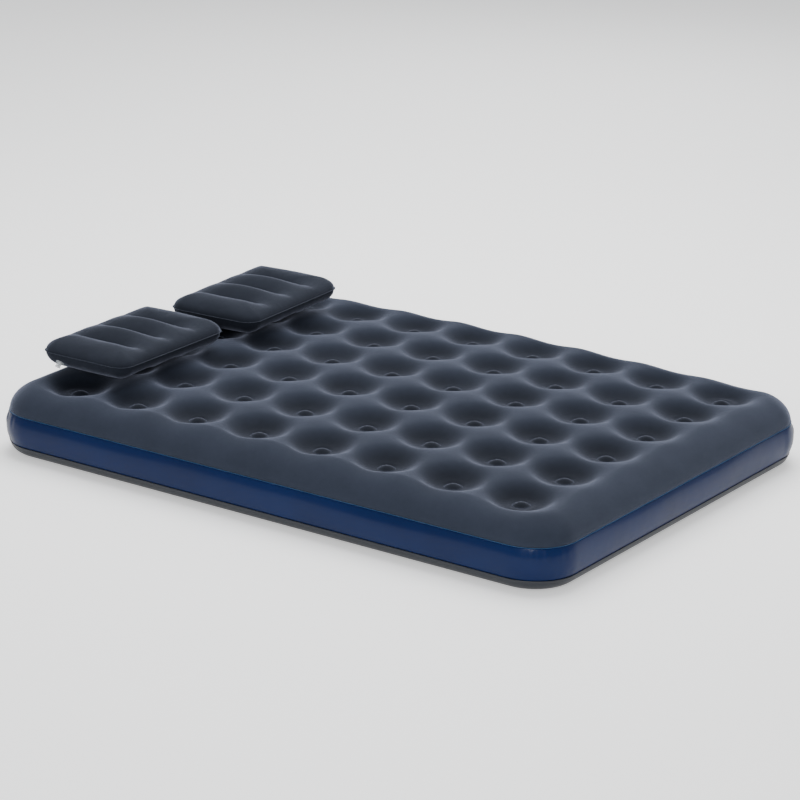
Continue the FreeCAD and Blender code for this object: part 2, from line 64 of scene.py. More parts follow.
PIT_WALL = 0.0980             # where the bowl's wall would meet the crest if it were sharp
PIT_BEND = 1.85               # power of the wall's rise, where 1 would be a cone
PIT_EDGE = 0.110              # rounding between the wall and the crest
CREST_START = 0.0788          # the broad crest rises from here to PIT_REACH
CREST_SHARE = 0.31            # of the depth that belongs to the broad crest
RIDGE_WIDTH = 0.0260          # rounding of the ridges between pits

# bed sheets
SHOULDER = 0.084              # width of the roll from the seam up to the top
CROWN_RISE = 0.0424           # of the bed's middle over its edges
CROWN_UNDER_TOP = 0.0014      # the crown's middle under the design's highest crest
FILM = 0.0008                 # thickness of the sheets
WAVE_HEIGHT = 0.0016          # unevenness of the top between its welds
WAVE_START = 0.06             # distance from a weld at which it is full
SLOW_WAVES = ((3.1, 1.7, 0.4), (-2.3, 4.2, 1.9), (6.7, -3.9, 2.7), (5.2, 8.1, 0.8),
              (-11.3, 7.4, 4.1))
ROUND_CELL = 0.034            # grid lines this near a weld are turned into circles
CELL_LINES = (0.009, 0.018, DOME_RADIUS, WELD_RADIUS, ROUND_CELL, 0.044, 0.055,
              0.066, 0.076, 0.086, 0.095, 0.104)
MARGIN_LINES = 13             # grid lines between the outer cells and the seam
CORNER_RADIUS = 0.138         # seam line, in plan
ARC_STEP = math.radians(3)
BOTTOM_ROLL = 0.050           # width of the roll from the lower seam down to the ground
BOTTOM_WELD = 0.0225          # rise of the bottom sheet to a coil's weld
BOTTOM_PIT_REACH = 0.085

# side band, its pocket and its seams
BAND_ROWS = 24
BAND_STEP = 0.011
BULGE_WAVES = ((0.10, 5.3, 0.7), (0.06, 13.1, 0.0))    # share of the bulge, waves along, start
PLEAT_WAVES = ((1.0, 290, 0.0), (0.6, 171, 1.1))       # the same for the corners' pleats
UPPER_PLEAT, UPPER_PLEAT_DROP = 0.0018, 0.045          # depth, and reach from the seam
LOWER_PLEAT, LOWER_PLEAT_RISE = 0.0006, 0.030
LOWER_PLEAT_SHIFT = 3         # steps along the band between the upper and the lower pleats
POCKET_DEPTH = 0.024          # of the valve's pocket, from the band's widest line
POCKET_ROOM = 0.003           # between the base's flange and the pocket's wall
POCKET_WALL = 0.0045          # width of the rounded step down to the floor
VALVE_HOLE = 0.031            # radius of the hole in the pocket's floor, under the base's flange
SEAM_OUT = 0.0022             # weld flange outside the seam line
SEAM_WIDTH = 0.005
SEAM_THICK = 0.0011
SEAM_STEP = 0.02

# pillows
CHANNELS = 4
PILLOW_HALF_LENGTH = 0.261
PILLOW_HALF_WIDTH = 0.164
PILLOW_TURNS = {1: math.radians(1.0), 2: math.radians(3.5)}
PILLOW_CORNER = 0.050
PILLOW_SEAM_WIDTH = 0.0045
PILLOW_SEAM_THICK = 0.0010
PILLOW_STEP = 0.0062
PILLOW_PUFF = 0.012           # how far the air may move the sheet from its start
PILLOW_GAP = 0.0012           # left over the bed
PILLOW_ROLL = 0.164           # width of the roll from the seam up to the crests
UNDER_ROLL = 0.082            # and down to the underside
PUFF_FRAMES = 18
GROOVE_END = 0.020            # a groove stops this far from the seams
GROOVE_FADE = 0.010
GROOVE_RISE = 0.010           # height of a groove's bottom over the seam's level
GROOVE_SHARPNESS = 1.60       # 1 would be a V from crest to crest
GROOVE_FULL = 0.90            # share of the roll at which a groove is fully deep
GROOVE_LEAST = 0.25           # share of the height that a groove always leaves
GROOVE_SPREAD = 0.0022        # half the width of a web's weld
CREST_PROUD = 0.007           # the channels' crests over the design's flat top
STEM_TILT = math.radians(45)  # the pillow's inflation stem, below level
STEM_TAIL = 0.006             # length of the stem inside its flange
STEM_SEAT = 0.015             # radius of the flat under the stem's flange
STEM_LIFT = 0.0002            # the sheet lies this far inside the flange

# ---- finishes, as linear colours
FLOCK_DARK = (0.0048, 0.0064, 0.0108, 1)
FLOCK_LIGHT = (0.0260, 0.0322, 0.0490, 1)
PILLOW_DARK = (0.0070, 0.0088, 0.0135, 1)
PILLOW_LIGHT = (0.0250, 0.0300, 0.0430, 1)
FLOCK_SHEEN = (0.54, 0.59, 0.78, 1)
BAND_DARK = (0.0010, 0.0060, 0.0330, 1)
BAND_LIGHT = (0.0020, 0.0125, 0.0660, 1)
SEAM_BLUE = (0.0050, 0.0600, 0.1600, 1)
# Painted shade: the lower seam's copy of the seam blue, made far darker than the upper one.
LOWER_SEAM_SHADED_BLUE = (0.0012, 0.0030, 0.0120, 1)
BOTTOM_DARK = (0.0045, 0.0060, 0.0105, 1)
BOTTOM_LIGHT = (0.0100, 0.0130, 0.0200, 1)
VALVE_DARK = (0.0170, 0.0220, 0.0320, 1)
VALVE_LIGHT = (0.0300, 0.0370, 0.0500, 1)
RUBBER_DARK = (0.0060, 0.0060, 0.0070, 1)
RUBBER_LIGHT = (0.0140, 0.0140, 0.0160, 1)
FILM_DARK = (0.42, 0.45, 0.50, 1)
FILM_LIGHT = (0.58, 0.61, 0.66, 1)
CLEAR_DARK = (0.62, 0.66, 0.70, 1)
CLEAR_LIGHT = (0.86, 0.89, 0.92, 1)

# ---- studio
CAMERA_AZIMUTH = 34.2167
CAMERA_ELEVATION = 18.2778
CAMERA_ROLL = 1.3048
CAMERA_DISTANCE = 9.8717
CAMERA_TARGET = Vector((-0.2426, 0.3490, 0.0368))
CAMERA_LENS = 138.58
CAMERA_SENSOR = 36
FLOOR_HALF = 30
FLOOR_DROP = 0.0006           # under the bed, so that the two never share a plane
FLOOR_GLOW = 0.45
SKY_COLOUR, SKY_STRENGTH = (0.96, 0.98, 1, 1), 0.62
LAMPS = (                     # name, place, what it points at, diameter, watts
    ("overhead", (-0.5, 0.9, 4.4), (0, 0, 0), 4.6, 330),
    ("behind", (-2.4, 5.0, 3.6), (0, 0, 0.1), 4.5, 130),
    ("corner_left", (2.6, -5.6, 2.5), (0.9, -0.7, 0.1), 0.4, 100),
    ("corner_right", (3.9, -4.9, 2.5), (0.9, -0.7, 0.1), 0.3, 50))


def span(node):
    low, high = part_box(node)
    return np.array(low), np.array(high)


top_low, top_high = span("top_sheet")
band_low, band_high = span("side_band")
SEAM_X, SEAM_Y = float(top_high[0]), float(top_high[1])
UPPER_SEAM, BED_TOP = float(top_low[2]), float(top_high[2])
LOWER_SEAM = float(span("bottom_sheet")[1][2])
BAND_BULGE = float(band_high[0]) - SEAM_X
BODIES = {node: body for body, nodes in frame["record"]["behaviour"]["bodies"].items()
          for node in nodes}
SLOTS = {part["node"]: part["material_slot"] for part in frame["record"]["subparts"]}
COIL_ROWS = sorted(node for node in frame["nodes"] if node.startswith("coil_beams_row"))


def weld_centres():
    """Coil centres along X and along Y, read from the coil rows."""
    rows = [span(row) for row in COIL_ROWS]
    radius = (rows[0][1][0] - rows[0][0][0]) / 2
    along = sorted((low[0] + high[0]) / 2 for low, high in rows)
    pitch = along[1] - along[0]
    first, last = rows[0][0][1] + radius, rows[0][1][1] - radius
    across = np.linspace(first, last, int(round((last - first) / pitch)) + 1)
    return np.array(along), across, pitch, float(rows[0][1][2])


WELDS_X, WELDS_Y, PITCH, COIL_TOP = weld_centres()


# ---------------------------------------------------------------- mesh helpers
def smooth(t):
    t = np.clip(t, 0, 1)
    return t * t * (3 - 2 * t)


def mesh_piece(name, points, faces, material=None, edges=()):
    mesh = bpy.data.meshes.new(name)
    mesh.from_pydata([tuple(p) for p in points], list(edges), [tuple(f) for f in faces])
    mesh.polygons.foreach_set("use_smooth", [True] * len(mesh.polygons))
    if material:
        mesh.materials.append(material)
    mesh.update()
    piece = bpy.data.objects.new(name, mesh)
    bpy.context.scene.collection.objects.link(piece)
    return piece


def used_points(points, faces):
    """The points that the faces touch, and the faces counted on them."""
    used = np.unique(np.concatenate(faces))
    index = np.full(len(points), -1)
    index[used] = np.arange(len(used))
    return points[used], [tuple(int(index[k]) for k in face) for face in faces]


def float_attribute(piece, name, values):
    attribute = piece.data.attributes.new(name, "FLOAT", "POINT")
    attribute.data.foreach_set("value", np.asarray(values, np.float32).ravel())


def grid_faces(rows, columns, flip=False, wrap=False):
    """Quads of a grid of rows x columns points; wrap joins the last column to the first."""
    across = columns if wrap else columns - 1
    faces = []
    for i in range(rows - 1):
        for j in range(across):
            k = (j + 1) % columns
            quad = (i * columns + j, (i + 1) * columns + j, (i + 1) * columns + k, i * columns + k)
            faces.append(quad[::-1] if flip else quad)
    return faces


def bake_modifiers(piece):
    """The piece's evaluated mesh takes the place of its mesh and modifiers."""
    bpy.context.view_layer.update()
    graph = bpy.context.evaluated_depsgraph_get()
    mesh = bpy.data.meshes.new_from_object(piece.evaluated_get(graph))
    piece.modifiers.clear()
    piece.data = mesh
    mesh.name = piece.name
    return piece


def thicken(piece):
    """Gives a sheet its film's thickness, inwards."""
    solid = piece.modifiers.new("film", "SOLIDIFY")
    solid.thickness = FILM
    solid.offset = -1
    solid.use_even_offset = True
    return bake_modifiers(piece)


def points_of(piece):
    points = np.zeros(len(piece.data.vertices) * 3)
    piece.data.vertices.foreach_get("co", points)
    return points.reshape(-1, 3)


def set_points(piece, points):
    piece.data.vertices.foreach_set("co", points.astype(np.float32).ravel())
    piece.data.update()


def place(piece, node, *replaced):
    """Rides the piece with the node's body, and hides the nodes it stands for."""
    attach(piece, BODIES[node])
    if replaced:
        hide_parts(*replaced)
    return piece


# ---------------------------------------------------------------- shader node groups
def group_tree(name, inputs, outputs):
    tree = bpy.data.node_groups.new(name, "ShaderNodeTree")
    for label, value in inputs.items():
        socket = tree.interface.new_socket(label, in_out="INPUT", socket_type="NodeSocketFloat")
        socket.default_value = value
    for label in outputs:
        tree.interface.new_socket(label, in_out="OUTPUT", socket_type="NodeSocketFloat")
    return tree, tree.nodes.new("NodeGroupInput"), tree.nodes.new("NodeGroupOutput")


def add(tree, kind, settings=None, **values):
    node = tree.nodes.new(kind)
    for name, value in (settings or {}).items():
        setattr(node, name, value)
    for name, value in values.items():
        node.inputs[name.replace("_", " ")].default_value = value
    return node


def math_node(tree, operation, first, second=None):
    node = add(tree, "ShaderNodeMath", {"operation": operation})
    for slot, value in zip(node.inputs, (first, second)):
        if isinstance(value, (int, float)):
            slot.default_value = value
        elif value is not None:
            tree.links.new(value, slot)
    return node.outputs[0]


def noise(tree, place_on, scale, detail, roughness=0.5):
    node = add(tree, "ShaderNodeTexNoise", Detail=detail, Roughness=roughness)
    tree.links.new(place_on, node.inputs["Vector"])
    if isinstance(scale, (int, float)):
        node.inputs["Scale"].default_value = scale
    else:
        tree.links.new(scale, node.inputs["Scale"])
    return node.outputs["Fac"]


def flock_pile_group():
    """Short dense fibres: a fine height, brushed patches of nap and a little lint."""
    tree, given, result = group_tree("flock_pile", {"Fibre": 900.0, "Nap": 9.0, "Worn": 0.5},
                                     ("Shade", "Height"))
    place_on = add(tree, "ShaderNodeTexCoord").outputs["Object"]
    fibre = noise(tree, place_on, given.outputs["Fibre"], 3.0, 0.7)
    nap = noise(tree, place_on, given.outputs["Nap"], 2.0)
    brushed = noise(tree, place_on, 60.0, 2.0)
    nap_share, brush_share, grain_share, shade_and_tone_share, darken, brush_height = (
        0.35, 0.15, 0.25, 0.75, 0.35, 0.6)
    patches = math_node(tree, "ADD", math_node(tree, "MULTIPLY", nap, nap_share),
                        math_node(tree, "MULTIPLY", brushed, brush_share))
    grain = math_node(tree, "MULTIPLY", fibre, grain_share)
    # Painted shade: on the bed this term follows the crest attribute, darkening the pits and
    # lightening the crests; a constant value only lifts the tone.
    shade_and_tone = math_node(tree, "MULTIPLY", given.outputs["Worn"], shade_and_tone_share)
    shade = math_node(tree, "ADD", math_node(tree, "ADD", patches, grain), shade_and_tone)
    tree.links.new(math_node(tree, "SUBTRACT", shade, darken), result.inputs["Shade"])
    lay = math_node(tree, "MULTIPLY", brushed, brush_height)
    tree.links.new(math_node(tree, "ADD", fibre, lay), result.inputs["Height"])
    return tree


def film_ripple_group():
    """Calendered vinyl: a slow ripple, a fine grain and a finish that varies a little."""
    tree, given, result = group_tree("film_ripple", {"Ripple": 16.0, "Grain": 700.0, "Gloss": 0.3},
                                     ("Shade", "Height", "Finish"))
    place_on = add(tree, "ShaderNodeTexCoord").outputs["Object"]
    ripple = noise(tree, place_on, given.outputs["Ripple"], 1.5)
    grain = noise(tree, place_on, given.outputs["Grain"], 2.0)
    haze = noise(tree, place_on, 5.0, 2.0)
    haze_share, grain_share, grain_height, gloss_spread = 0.8, 0.2, 0.02, 0.12
    shade = math_node(tree, "ADD", math_node(tree, "MULTIPLY", haze, haze_share),
                      math_node(tree, "MULTIPLY", grain, grain_share))
    tree.links.new(shade, result.inputs["Shade"])
    fine = math_node(tree, "MULTIPLY", grain, grain_height)
    tree.links.new(math_node(tree, "ADD", ripple, fine), result.inputs["Height"])
    spread = math_node(tree, "MULTIPLY", math_node(tree, "SUBTRACT", haze, 0.5), gloss_spread)
    tree.links.new(math_node(tree, "ADD", given.outputs["Gloss"], spread), result.inputs["Finish"])
    return tree


GROUPS = {"flock": flock_pile_group(), "film": film_ripple_group()}


def surface(name, group, dark, light, values, bump, height_step, painted_shade_by=None, **constant):
    """A finish whose shared group mixes two tones, drives the bump and, on film, the roughness.

    Its attribute argument names the attribute that paints shade into the flock point by point:
    darker in the pits, lighter on the crests.
    """
    material = bpy.data.materials.new(name)
    material.use_nodes = True
    tree = material.node_tree
    shader = tree.nodes["Principled BSDF"]
    for label, value in constant.items():
        shader.inputs[label.replace("_", " ")].default_value = value
    effect = add(tree, "ShaderNodeGroup", {"node_tree": GROUPS[group]})
    for label, value in values.items():
        effect.inputs[label].default_value = value
    if painted_shade_by:
        read = add(tree, "ShaderNodeAttribute", {"attribute_name": painted_shade_by})
        tree.links.new(read.outputs["Fac"], effect.inputs["Worn"])
    mix = add(tree, "ShaderNodeMix", {"data_type": "RGBA"})
    colours = [slot for slot in mix.inputs if slot.type == "RGBA"]
    colours[0].default_value, colours[1].default_value = dark, light
    tree.links.new(effect.outputs["Shade"], mix.inputs["Factor"])
    mixed = [slot for slot in mix.outputs if slot.type == "RGBA"][0]
    tree.links.new(mixed, shader.inputs["Base Color"])
    bumper = add(tree, "ShaderNodeBump", Strength=bump, Distance=height_step)
    tree.links.new(effect.outputs["Height"], bumper.inputs["Height"])
    tree.links.new(bumper.outputs["Normal"], shader.inputs["Normal"])
    if "Finish" in effect.outputs:
        tree.links.new(effect.outputs["Finish"], shader.inputs["Roughness"])
    return material


def finishes():
    """One material for each of the design's finish slots, and for the seams and weld rings."""
    flock = {"Roughness": 0.92, "Specular_IOR_Level": 0.12, "Sheen_Weight": 0.42,
             "Sheen_Roughness": 0.34, "Sheen_Tint": FLOCK_SHEEN}
    return {
        # The bed's flock carries painted shade: darker in the pits, lighter on the crests.
        "top_flock": surface(
            "bed_flock", "flock", FLOCK_DARK, FLOCK_LIGHT, {"Fibre": 900, "Nap": 7},
            bump=0.35, height_step=0.0012, painted_shade_by="crest", **flock),
        "pillow_flock": surface(
            "pillow_flock", "flock", PILLOW_DARK, PILLOW_LIGHT,
            {"Fibre": 900, "Nap": 12, "Worn": 0.45}, bump=0.35, height_step=0.0012, **flock),
        "weld_flock": surface(
            "pressed_flock", "flock", FLOCK_LIGHT, FLOCK_LIGHT,
            {"Fibre": 900, "Nap": 12, "Worn": 0.8}, bump=0.2, height_step=0.0008, **flock),
        "band_vinyl": surface(
            "navy_vinyl", "film", BAND_DARK, BAND_LIGHT,
            {"Ripple": 14, "Grain": 800, "Gloss": 0.38}, bump=0.25, height_step=0.004,
            Coat_Weight=0.18, Coat_Roughness=0.13, Specular_IOR_Level=0.06),
        "seam_vinyl": surface(
            "welded_seam_vinyl", "film", SEAM_BLUE, SEAM_BLUE,
            {"Ripple": 40, "Grain": 800, "Gloss": 0.3}, bump=0.2, height_step=0.001),
        # Painted shade: the seam vinyl again, darkened for the lower seam.
        "lower_seam_shaded_vinyl": surface(
            "lower_seam_shaded_vinyl", "film", LOWER_SEAM_SHADED_BLUE, LOWER_SEAM_SHADED_BLUE,
            {"Ripple": 40, "Grain": 800, "Gloss": 0.4}, bump=0.2, height_step=0.001),
        "bottom_vinyl": surface(
            "slate_vinyl", "film", BOTTOM_DARK, BOTTOM_LIGHT,
            {"Ripple": 22, "Grain": 500, "Gloss": 0.5}, bump=0.3, height_step=0.003),
        "coil_film": surface(
            "inner_film", "film", FILM_DARK, FILM_LIGHT,
            {"Ripple": 30, "Grain": 500, "Gloss": 0.35}, bump=0.3, height_step=0.002),
        "valve_grey": surface(
            "valve_plastic", "film", VALVE_DARK, VALVE_LIGHT,
            {"Ripple": 60, "Grain": 1500, "Gloss": 0.42}, bump=0.15, height_step=0.0006),
        "seal_rubber": surface(
            "seal_rubber", "film", RUBBER_DARK, RUBBER_LIGHT,
            {"Ripple": 90, "Grain": 1800, "Gloss": 0.7}, bump=0.2, height_step=0.0006),
        "clear_vinyl": surface(
            "clear_soft_vinyl", "film", CLEAR_DARK, CLEAR_LIGHT,
            {"Ripple": 120, "Grain": 900, "Gloss": 0.18}, bump=0.1, height_step=0.0006,
            Alpha=0.45, Coat_Weight=0.5, Coat_Roughness=0.08),
    }


# ---------------------------------------------------------------- form of the bed
def seam_distance(x, y):
    """How far inside the seam line a point lies, in plan."""
    qx = np.abs(x) - (SEAM_X - CORNER_RADIUS)
    qy = np.abs(y) - (SEAM_Y - CORNER_RADIUS)
    outside = np.hypot(np.maximum(qx, 0), np.maximum(qy, 0)) + np.minimum(np.maximum(qx, qy), 0)
    return np.maximum(CORNER_RADIUS - outside, 0)


def nearest_weld(x, y):
    """Centre of the weld nearest to a point."""
    column = np.clip(np.round((x - WELDS_X[0]) / PITCH), 0, len(WELDS_X) - 1)
    row = np.clip(np.round((y - WELDS_Y[0]) / PITCH), 0, len(WELDS_Y) - 1)
    return WELDS_X[0] + column * PITCH, WELDS_Y[0] + row * PITCH


def weld_distance(x, y, ridge):
    """Distance to the welds around a point, rounded where two or more are equally near."""
    centre_x, centre_y = nearest_weld(x, y)
    total = np.zeros_like(x)
    for step_x in (-PITCH, 0, PITCH):
        for step_y in (-PITCH, 0, PITCH):
            there_x, there_y = centre_x + step_x, centre_y + step_y
            real = (np.abs(there_x) < WELDS_X[-1] + ridge) & (np.abs(there_y) < WELDS_Y[-1] + ridge)
            total += np.where(real, np.exp(-np.hypot(x - there_x, y - there_y) / ridge), 0)
    return -ridge * np.log(np.maximum(total, 1e-12))


def slow_waves(x, y):
    """Unevenness of real film over half a metre or so, from about -1 to 1, from fixed waves."""
    return sum(np.sin(a * x * 2 + b * y * 2 + c) / (1 + 0.25 * k)
               for k, (a, b, c) in enumerate(SLOW_WAVES)) / 4


def top_envelope(x, y):
    """The top without its pits: a shoulder up from the seam, then a low crown."""
    share = np.clip(seam_distance(x, y) / SHOULDER, 0, 1)
    edge_height = BED_TOP - CROWN_UNDER_TOP - CROWN_RISE
    rise = np.sqrt(np.maximum(1 - (1 - share) ** 2, 0))
    crown = np.clip((2 - (x / SEAM_X) ** 2 - (y / SEAM_Y) ** 2) / 2, 0, 1)
    return UPPER_SEAM + (edge_height - UPPER_SEAM) * rise + CROWN_RISE * crown * share


def pit_share(away):
    """0 at a weld's ring and 1 on a crest: a bowl whose wall turns over into a broad crest."""
    reach = np.clip((away - WELD_RADIUS) / (PIT_WALL - WELD_RADIUS), 0, 3) ** PIT_BEND
    start = PIT_EDGE * math.log(1 + math.exp(-1 / PIT_EDGE))
    bowl = -PIT_EDGE * np.log(np.exp(-reach / PIT_EDGE) + math.exp(-1 / PIT_EDGE))
    bowl = (bowl + start) / (1 + start)
    crest = smooth((away - CREST_START) / (PIT_REACH - CREST_START))
    return np.minimum((1 - CREST_SHARE) * bowl + CREST_SHARE * crest, 1)


def top_height(x, y):
    """Height of the top sheet and its nearness to a crest, 0 at a weld and 1 on a crest."""
    envelope = top_envelope(x, y)
    centre_x, centre_y = nearest_weld(x, y)
    away = weld_distance(x, y, RIDGE_WIDTH)
    share = pit_share(away)
    height = envelope - PIT_DEPTH * (1 - share)
    height = np.where(away < PIT_WALL / 2, np.maximum(height, COIL_TOP + 2 * WELD_GROOVE), height)
    radius = np.hypot(x - centre_x, y - centre_y)
    dome = DOME_RISE * (1 - np.clip(radius / DOME_RADIUS, 0, 1) ** 2)
    weld = np.maximum(top_envelope(centre_x, centre_y) - PIT_DEPTH, COIL_TOP + 2 * WELD_GROOVE)
    height = np.where(radius < WELD_RADIUS + 1e-5, weld - WELD_GROOVE + dome, height)
    loose = smooth((away - WELD_RADIUS) / WAVE_START)
    loose = loose * np.clip(seam_distance(x, y) / SHOULDER, 0, 1)
    return height + WAVE_HEIGHT * slow_waves(x, y) * loose, share


def sheet_lines(centres, seam):
    """Grid lines along one axis: round each weld, then bunched towards the seam."""
    lines = []
    for centre in centres:
        lines += [centre - PITCH / 2] + [centre - step for step in CELL_LINES[::-1]]
        lines += [centre] + [centre + step for step in CELL_LINES]
    edge = centres[-1] + PITCH / 2
    outer = edge + (seam - edge) * np.sin(np.linspace(0, math.pi / 2, MARGIN_LINES + 1))
    return np.concatenate([-outer[:0:-1], lines, outer])


def round_cells(x, y, inner, reach):
    """Turns the square rings of grid points about each weld into circles, up to inner."""
    centre_x, centre_y = nearest_weld(x, y)
    u, v = x - centre_x, y - centre_y
    square = np.maximum(np.abs(u), np.abs(v))
    radius = np.maximum(np.hypot(u, v), 1e-9)
    share = smooth((reach - square) / (reach - inner))
    factor = 1 - share + share * square / radius
    return centre_x + u * factor, centre_y + v * factor


def round_corners(x, y, half_x, half_y, radius):
    """Pulls a rectangle's corners in to arcs of that radius."""
    p = np.clip((np.abs(x) - (half_x - radius)) / radius, 0, 1)
    q = np.clip((np.abs(y) - (half_y - radius)) / radius, 0, 1)
    new_p, new_q = p * np.sqrt(1 - q * q / 2), q * np.sqrt(1 - p * p / 2)
    return (np.where(p > 0, np.sign(x) * (half_x - radius + new_p * radius), x),
            np.where(q > 0, np.sign(y) * (half_y - radius + new_q * radius), y))


def sheet_plan():
    """Plan positions of a bed sheet's grid, with round welds and round corners."""
    x, y = np.meshgrid(sheet_lines(WELDS_X, SEAM_X), sheet_lines(WELDS_Y, SEAM_Y), indexing="ij")
    x, y = round_cells(x, y, ROUND_CELL, PITCH / 2)
    return round_corners(x, y, SEAM_X, SEAM_Y, CORNER_RADIUS)


def top_sheet(finish):
    x, y = sheet_plan()
    z, crest = top_height(x, y)
    points = np.stack([x, y, z], -1).reshape(-1, 3)
    piece = mesh_piece("bed_top_sheet", points, grid_faces(*x.shape), finish["top_flock"])
    # Painted shade: this attribute makes the flock darker in the pits and lighter on the crests.
    float_attribute(piece, "crest", smooth(crest))
    return place(thicken(piece), "top_sheet", "top_sheet")


def bottom_height(x, y):
    """The bottom rolls in from the lower seam, lies on the ground and rises to each weld."""
    share = np.clip(seam_distance(x, y) / BOTTOM_ROLL, 0, 1)
    roll = LOWER_SEAM * (1 - np.sqrt(np.maximum(1 - (1 - share) ** 2, 0)))
    away = weld_distance(x, y, RIDGE_WIDTH)
    pit = BOTTOM_WELD * (1 - smooth((away - WELD_RADIUS) / (BOTTOM_PIT_REACH - WELD_RADIUS)))
    return roll + pit


def bottom_sheet(finish):
    x, y = sheet_plan()
    points = np.stack([x, y, bottom_height(x, y)], -1).reshape(-1, 3)
    piece = mesh_piece("bed_bottom_sheet", points, grid_faces(*x.shape, flip=True),
                       finish["bottom_vinyl"])
    return place(thicken(piece), "bottom_sheet", "bottom_sheet")


def direction_at(angle):
    return np.array([math.cos(angle), math.sin(angle)])


def seam_outline(step, window=None):
    """The seam line in plan, anticlockwise: points, outward directions and place along each corner.

    A window is a point beside a straight stretch, how far it reaches along it and its own step.
    """
    points, outward, corner = [], [], []
    middles = [np.array([side_x * (SEAM_X - CORNER_RADIUS), side_y * (SEAM_Y - CORNER_RADIUS)])
               for side_x, side_y in ((1, 1), (-1, 1), (-1, -1), (1, -1))]
    for index, middle in enumerate(middles):
        for angle in np.arange(0, math.pi / 2 + 1e-9, ARC_STEP):
            direction = direction_at(angle + math.radians(90 * index))
            points.append(middle + CORNER_RADIUS * direction)
            outward.append(direction)
            corner.append(math.sin(2 * angle) ** 2)
        direction = direction_at(math.radians(90 * (index + 1)))
        start = points[-1]
        along = middles[(index + 1) % 4] + CORNER_RADIUS * direction - start
        length = float(np.hypot(*along))
        stations = set(np.round(np.linspace(0, length, int(length / step) + 1)[1:-1], 5))
        if window:
            beside, reach, fine = window
            where = float(np.dot(beside - start, along) / length)
            off = abs(float(np.dot(beside - start, direction)))
            if 0 < where < length and off < reach:
                stations = {s for s in stations if abs(s - where) > reach + fine / 2}
                stations |= set(np.round(where + np.arange(-reach, reach + fine / 2, fine), 5))
        for station in sorted(stations):
            points.append(start + along * station / length)
            outward.append(direction)
            corner.append(0.0)
    return np.array(points), np.array(outward), np.array(corner)


def valve_seat():
    """Centre of the valve's seat on the head end and the radius of its pocket's floor."""
    low, high = span("valve_base")
    return (low + high) / 2, float(high[1] - low[1]) / 2


def wave_sum(along, waves):
    return sum(size * np.sin(along * rate + start) for size, rate, start in waves)[None, :]


def band_bulge(along, corner, level, z):
    """How far the band stands out of the seam line: bulge, slow waves and the corners' pleats."""
    height = UPPER_SEAM - LOWER_SEAM
    arch = 1 - ((z - (UPPER_SEAM + LOWER_SEAM) / 2) / (height / 2)) ** 2
    most = 1 + sum(size for size, _, _ in BULGE_WAVES)
    bulge = BAND_BULGE * np.maximum(arch, 0) * (1 + wave_sum(along, BULGE_WAVES)) / most
    pleats = wave_sum(along, PLEAT_WAVES) * corner[None, :]
    upper = np.sin(np.clip(height * (1 - level) / UPPER_PLEAT_DROP, 0, 1) * math.pi)
    lower = np.sin(np.clip(height * level / LOWER_PLEAT_RISE, 0, 1) * math.pi)
    return (bulge + UPPER_PLEAT * pleats * upper
            + LOWER_PLEAT * np.roll(pleats, LOWER_PLEAT_SHIFT, axis=1) * lower)


def side_band(finish):
    """Bulged band from seam to seam, with the valve's pocket pressed into the head end."""
    seat, flange = valve_seat()
    half_height = (UPPER_SEAM - LOWER_SEAM) / 2
    middle = (UPPER_SEAM + LOWER_SEAM) / 2
    window = (np.array([-SEAM_X, seat[1]]), half_height, 2 * half_height / BAND_ROWS)
    path, outward, corner = seam_outline(BAND_STEP, window)
    along = np.concatenate([[0], np.cumsum(np.hypot(*np.diff(path, axis=0).T))])
    rows = BAND_ROWS + 1
    level = np.broadcast_to(np.linspace(0, 1, rows)[:, None], (rows, len(path)))

    # about the valve the grid's squares are turned into circles; u and v start at its axis
    on_head = np.broadcast_to(np.abs(path[:, 0] + SEAM_X) < 1e-4, level.shape)
    u = np.broadcast_to(path[None, :, 1] - seat[1], level.shape)
    v = LOWER_SEAM + 2 * half_height * level - middle
    square = np.maximum(np.abs(u), np.abs(v))
    near = on_head & (square < half_height)
    floor_radius = flange + POCKET_ROOM
    share = smooth((half_height - square) / (half_height - floor_radius))
    factor = np.where(near, 1 - share + share * square / np.maximum(np.hypot(u, v), 1e-9), 1)
    z = middle + v * factor

    bulge = band_bulge(along, corner, level, z)
    x = path[None, :, 0] + outward[None, :, 0] * bulge
    y = path[None, :, 1] + outward[None, :, 1] * bulge + u * (factor - 1)
    radius = np.where(near, np.hypot(u * factor, v * factor), half_height)
    floor_x = float(band_low[0]) + POCKET_DEPTH
    wall = smooth((radius - floor_radius) / POCKET_WALL)
    x = np.where(near, floor_x + (x - floor_x) * wall, x)
    points = np.stack([x, y, z], -1).reshape(-1, 3)
    hole = (radius < VALVE_HOLE).ravel()
    faces = [face for face in grid_faces(rows, len(path), flip=True, wrap=True)
             if not all(hole[k] for k in face)]
    piece = mesh_piece("bed_side_band", *used_points(points, faces), finish["band_vinyl"])
    return place(thicken(piece), "side_band", "side_band")


# ---------------------------------------------------------------- geometry nodes
def geometry_tree(name, inputs):
    tree = bpy.data.node_groups.new(name, "GeometryNodeTree")
    tree.interface.new_socket("Geometry", in_out="INPUT", socket_type="NodeSocketGeometry")
    sockets = {}
    for label, value in inputs.items():
        socket = tree.interface.new_socket(label, in_out="INPUT", socket_type="NodeSocketFloat")
        socket.default_value = value
        sockets[label] = socket.identifier
    tree.interface.new_socket("Geometry", in_out="OUTPUT", socket_type="NodeSocketGeometry")
    return tree, tree.nodes.new("NodeGroupInput"), tree.nodes.new("NodeGroupOutput"), sockets


def end_tree(tree, geometry, result, material):
    realize = tree.nodes.new("GeometryNodeRealizeInstances")
    tree.links.new(geometry, realize.inputs[0])
    paint = tree.nodes.new("GeometryNodeSetMaterial")
    paint.inputs["Material"].default_value = material
    tree.links.new(realize.outputs[0], paint.inputs["Geometry"])
    tree.links.new(paint.outputs[0], result.inputs[0])


